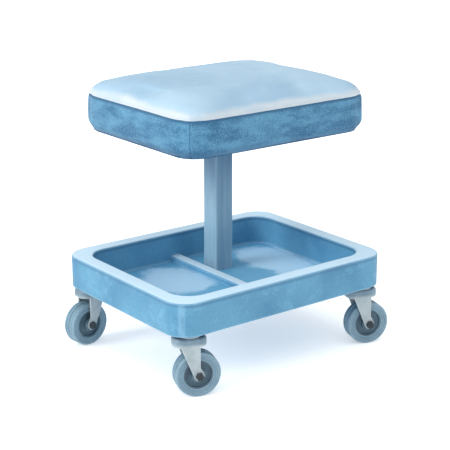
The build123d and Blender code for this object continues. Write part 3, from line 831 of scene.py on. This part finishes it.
def over_board(points, margin, corner_cut):
    """Which points lie over the seat board, seen from above, let out by margin."""
    board_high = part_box("seat_board")[1]
    spare_x = board_high.x - np.abs(points[:, 0])
    spare_y = board_high.y - np.abs(points[:, 1])
    return (spare_x > -margin) & (spare_y > -margin) & (spare_x + spare_y > corner_cut)


def recess_for_board(mesh, bottom_z):
    """Lifts the pad's underside over the seat board, and turns its edge down round the board."""
    board_low, board_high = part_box("seat_board")
    points = points_of(mesh)
    inside = (points[:, 2] < board_low.z + 4 * MM) & over_board(points, -2 * MM, 22 * MM)
    lip = (points[:, 2] < bottom_z + 4 * MM) & ~inside & over_board(points, 1.5 * MM, 12 * MM)
    points[lip, 2] = bottom_z
    points[inside, 2] = board_high.z + 0.4 * MM
    set_points(mesh, points)


def make_cushion():
    low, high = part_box("seat_cover")
    seam_z = high.z - SEAM_DROP
    cushion = add_object("seat_cushion", cushion_start(low, high))
    modified(cushion, "REMESH", mode="VOXEL", voxel_size=VOXEL)
    inflate(cushion, seam_z - 3 * MM, low.z + UNDERSIDE_GAP)
    fit_to_box(cushion.data, low, high)
    modified(cushion, "SUBSURF", levels=1, render_levels=1)
    fit_to_box(cushion.data, low, high)
    recess_for_board(cushion.data, low.z + UNDERSIDE_GAP)
    sew_seams(cushion.data, seam_z, low.z, high.x, high.y)
    cushion.data.materials.append(vinyl_top(seam_z))
    cushion.data.materials.append(side_cloth(low.z, seam_z, high.x - high.y))
    smooth(cushion.data)
    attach(cushion, "root")
    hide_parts("seat_cover", "seat_foam")
    return cushion, seam_z


# ---- topstitch and hem --------------------------------------------------------------------

STITCH_PITCH = 4.6 * MM
STITCH_HALF = 1.6 * MM
STITCH_RADIUS = 0.42 * MM
STITCH_PROFILE = ((-1.0, 0.25), (-0.75, 0.8), (0.0, 1.0), (0.75, 0.8), (1.0, 0.25))


def seam_line(cushion, z):
    """Points round the cushion at height z, in order, with their outward directions."""
    tree = BVHTree.FromObject(cushion, bpy.context.evaluated_depsgraph_get())
    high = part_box("seat_cover")[1]
    away = 20 * MM
    outline = rounded_outline(high.x + away, high.y + away, PLAN_RADIUS + away, arc_steps=90, side_steps=220)
    found = []
    for p in outline:
        start = Vector((p.x, p.y, z))
        inner_x = math.copysign(min(abs(p.x), high.x - PLAN_RADIUS), p.x)
        inner_y = math.copysign(min(abs(p.y), high.y - PLAN_RADIUS), p.y)
        inward = Vector((inner_x, inner_y, z)) - start
        hit, normal, _, _ = tree.ray_cast(start, inward.normalized(), 3 * away)
        if hit is not None:
            found.append((hit, normal))
    return found


def stitch_rings(here, ahead, normal):
    """One short stitch lying along the seam, sunk into the cover at both ends."""
    along = (ahead - here).normalized()
    across = normal.cross(along).normalized()
    rings = []
    for reach, girth in STITCH_PROFILE:
        lift = STITCH_RADIUS * (0.9 * (1 - reach * reach) - 0.1)
        middle = here + along * STITCH_HALF * reach + normal * lift
        rings.append(circle_round(middle, across, normal, STITCH_RADIUS * girth, sides=6))
    return rings


def make_topstitch(cushion, seam_z):
    """A row of short stitches on the top panel, just above the seam."""
    line = seam_line(cushion, seam_z + 3.2 * MM)
    points, faces = [], []
    travelled, due = 0.0, 0.0
    for (here, normal), (ahead, _) in zip(line, line[1:] + line[:1]):
        step = (ahead - here).length
        travelled += step
        if travelled >= due and step >= 1e-6:
            due = travelled + STITCH_PITCH
            add_tube(points, faces, stitch_rings(here, ahead, normal))
    stitches = add_object("seat_topstitch", mesh_from("seat_topstitch", points, faces))
    stitches.data.materials.append(thread())
    smooth(stitches.data)
    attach(stitches, "root")


HEM_INSET = 8 * MM
HEM_WIDTH = 32 * MM
HEM_THICKNESS = 1.2 * MM
HEM_STEPS = 6


def pleat_depth(edge, place, share, half):
    """How far a pleat hangs down: only near the corners, and more towards the hem's inner edge."""
    by_corner = 1.0
    for reach, limit in zip(edge, half):
        by_corner *= min(1.0, max(0.0, (abs(reach) - limit + 45 * MM) / (30 * MM)))
    wave = 0.5 + 0.5 * math.sin(math.atan2(place.y, place.x) * 150)
    return 0.5 * MM * by_corner * share * wave


def hem_ring(outer, inner, share, z, half, pleated):
    """A loop round the hem, share of the way from its outer to its wandering inner edge."""
    ring = []
    for a, b in zip(outer, inner):
        wander = 2.2 * MM * noise.noise(Vector((b.x * 30, b.y * 30, 4.0)))
        p = a.lerp(b, share * (1 + wander / HEM_WIDTH))
        drop = pleat_depth(a, p, share, half) if pleated else 0.0
        ring.append((p.x, p.y, z - drop))
    return ring


def make_hem():
    """The cover's turned-under edge on the underside of the board, pleated at its corners."""
    low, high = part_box("seat_cover")
    half = (high.x - HEM_INSET, high.y - HEM_INSET)
    detail = {"arc_steps": 48, "side_steps": 60}
    outer = rounded_outline(*half, PLAN_RADIUS - HEM_INSET, **detail)
    inner = rounded_outline(half[0] - HEM_WIDTH, half[1] - HEM_WIDTH, 12 * MM, **detail)
    shares = [k / HEM_STEPS for k in range(HEM_STEPS + 1)]
    top_z = low.z + HEM_THICKNESS - 0.1 * MM
    topside = [hem_ring(outer, inner, share, top_z, half, False) for share in shares]
    underside = [hem_ring(outer, inner, share, low.z, half, True) for share in reversed(shares)]
    points, faces = [], []
    add_tube(points, faces, topside + underside, closed=True)
    hem = add_object("seat_cover_hem", mesh_from("seat_cover_hem", points, faces))
    hem.data.materials.append(bpy.data.materials["seat_side_cloth"])
    smooth(hem.data, math.radians(50))
    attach(hem, "root")


# ---- weld beads ---------------------------------------------------------------------------

WELD_RADIUS = 1.7 * MM
WELD_SPACING = 1.2 * MM
GUSSET_HALF = 2.0 * MM


def bead_rings(path, closed):
    """Rippled circles along a path of points, thinner at its free ends."""
    rings = []
    count = len(path)
    for i, here in enumerate(path):
        before = path[(i - 1) % count] if closed or i else here
        after = path[(i + 1) % count] if closed or i < count - 1 else here
        along = (after - before).normalized()
        guide = Vector((0, 0, 1)) if abs(along.z) < 0.8 else Vector((1, 0, 0))
        side = along.cross(guide).normalized()
        end = 1.0 if closed else min(1.0, 0.35 + 0.65 * min(i, count - 1 - i) / 3)
        girth = WELD_RADIUS * end * (1 + 0.12 * math.sin(i * 2.1))
        rings.append(circle_round(here, side, side.cross(along), girth, sides=8))
    return rings


def weld_line(start, end):
    steps = max(2, int((end - start).length / WELD_SPACING))
    return [start.lerp(end, k / steps) for k in range(steps + 1)]


def gusset_welds(middle, half, top):
    """Paths up the post and out along the plate, on both sides of each gusset."""
    low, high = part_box("post_gussets")
    paths = []
    for out, limit in (((1, 0, 0), high.x), ((-1, 0, 0), low.x), ((0, -1, 0), low.y)):
        out = Vector(out)
        face = Vector((middle.x, middle.y, 0)) + out * half
        reach = abs(limit - (face.x if out.x else face.y))
        across = Vector((-out.y, out.x, 0))
        for side in (-1, 1):
            foot = face + across * side * GUSSET_HALF
            foot_top = foot + Vector((0, 0, top))
            paths.append(weld_line(foot + Vector((0, 0, low.z + 3 * MM)), foot_top))
            paths.append(weld_line(foot_top + out * 2 * MM, foot_top + out * (reach - 2 * MM)))
    return paths


def make_welds():
    """Fillet welds: post to plate, and each gusset to both."""
    post_low, post_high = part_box("post")
    middle = (post_low + post_high) / 2
    half = (post_high.x - post_low.x) / 2
    top = post_high.z
    outline = rounded_outline(half, half, 3 * MM, arc_steps=5, side_steps=24)
    collar = [Vector((middle.x + p.x, middle.y + p.y, top - 0.4 * MM)) for p in outline]
    points, faces = [], []
    add_tube(points, faces, bead_rings(collar, closed=True), closed=True)
    for path in gusset_welds(middle, half, top):
        add_tube(points, faces, bead_rings(path, closed=False))
    welds = add_object("seat_plate_welds", mesh_from("seat_plate_welds", points, faces))
    welds.data.materials.append(bpy.data.materials["plate_paint"])
    smooth(welds.data)
    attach(welds, "root")


# ---- CAD nodes ----------------------------------------------------------------------------


def finish_cad_node(name, material):
    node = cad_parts[name]
    node.data.materials.clear()
    node.data.materials.append(material)
    smooth(node.data, math.radians(35))


def oxide():
    dark, light, edge = linear(26, 34, 42), linear(40, 50, 58), linear(72, 84, 92)
    return plated("dark_oxide", dark, light, 0.15, 0.45, 0.6, edge)


def finish_cad_nodes():
    tray_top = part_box("tray")[1].z
    plate = plate_enamel()
    zinc = plated("zinc_plate", linear(150, 156, 160), linear(190, 196, 200), 0.85, 0.26, 0.42)
    bright = plated("bright_steel", linear(178, 182, 186), linear(210, 214, 218), 1.0, 0.12, 0.22)
    fork = fork_enamel(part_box("fork_front_left")[1].z - 10 * MM)
    dark = oxide()
    finishes = {
        "tray": tray_plastic(tray_top),
        "post": post_enamel(tray_top + 20 * MM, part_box("seat_plate")[0].z),
        "seat_plate": plate,
        "post_gussets": plate,
        "seat_board": plywood(),
        "seat_staples": zinc,
        "seat_tee_nuts": zinc,
        "seat_bolts": zinc,
        "seat_washers": zinc,
        "post_cross_bolt": zinc,
        "post_cross_nut": zinc,
    }
    caster_finishes = {
        "stem_sleeve": nylon(),
        "stem": zinc,
        "bearing_cup": fork,
        "bearing_balls": bright,
        "fork": fork,
        "axle_bolt": dark,
        "axle_nut": dark,
        "axle_spacer": bright,
        "wheel_hub": hub_plastic(),
        "tyre": rubber(),
    }
    for piece, material in caster_finishes.items():
        finishes.update({f"{piece}_{corner}": material for corner in CORNERS})
    for name, material in finishes.items():
        finish_cad_node(name, material)


# ---- put together -------------------------------------------------------------------------

make_camera()
make_studio()
make_floor()
finish_cad_nodes()
cushion, seam_z = make_cushion()
make_topstitch(cushion, seam_z)
make_hem()
make_welds()
